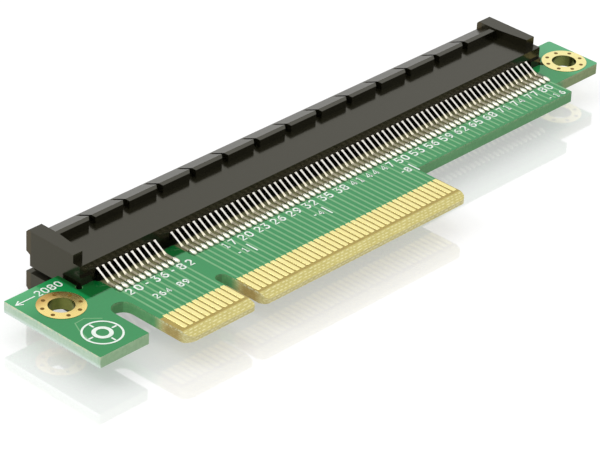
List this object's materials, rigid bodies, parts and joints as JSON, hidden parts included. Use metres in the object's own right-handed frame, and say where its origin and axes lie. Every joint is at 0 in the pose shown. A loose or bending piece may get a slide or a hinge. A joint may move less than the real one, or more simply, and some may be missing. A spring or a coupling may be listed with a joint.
{
  "type": "pcie riser card",
  "caption": "Riser card: green circuit board with a gold card edge at the front, a long dark expansion slot at the back, a fine row of contacts each side and a screw ear at each end",
  "frame": {"origin": "midway between the two screw holes, on the board's upper face", "axes": "+X along the slot from the wide ear to the small ear, +Y out of the slot's mouth, away from the card edge, +Z out of the component side of the board"},
  "size_m": [0.105, 0.0278, 0.0087],
  "materials": {
    "solder_mask": "glossy",
    "housing_plastic": "matte",
    "gold_plate": "polished",
    "tinned_contact": "bright"
  },
  "bodies": {
    "root": {"circuit_board": "solder_mask", "slot_housing": "housing_plastic", "left_hole_plating": "gold_plate", "right_hole_plating": "gold_plate", "upper_contacts_power": "tinned_contact", "upper_edge_fingers_power": "gold_plate", "upper_contacts_x1": "tinned_contact", "upper_edge_fingers_x1": "gold_plate", "upper_contacts_x4": "tinned_contact", "upper_edge_fingers_x4": "gold_plate", "upper_contacts_x8": "tinned_contact", "upper_edge_fingers_x8": "gold_plate", "upper_contacts_x16": "tinned_contact", "lower_contacts_power": "tinned_contact", "lower_edge_fingers_power": "gold_plate", "lower_contacts_x1": "tinned_contact", "lower_edge_fingers_x1": "gold_plate", "lower_contacts_x4": "tinned_contact", "lower_edge_fingers_x4": "gold_plate", "lower_contacts_x8": "tinned_contact", "lower_edge_fingers_x8": "gold_plate", "lower_contacts_x16": "tinned_contact"}
  },
  "joints": []
}
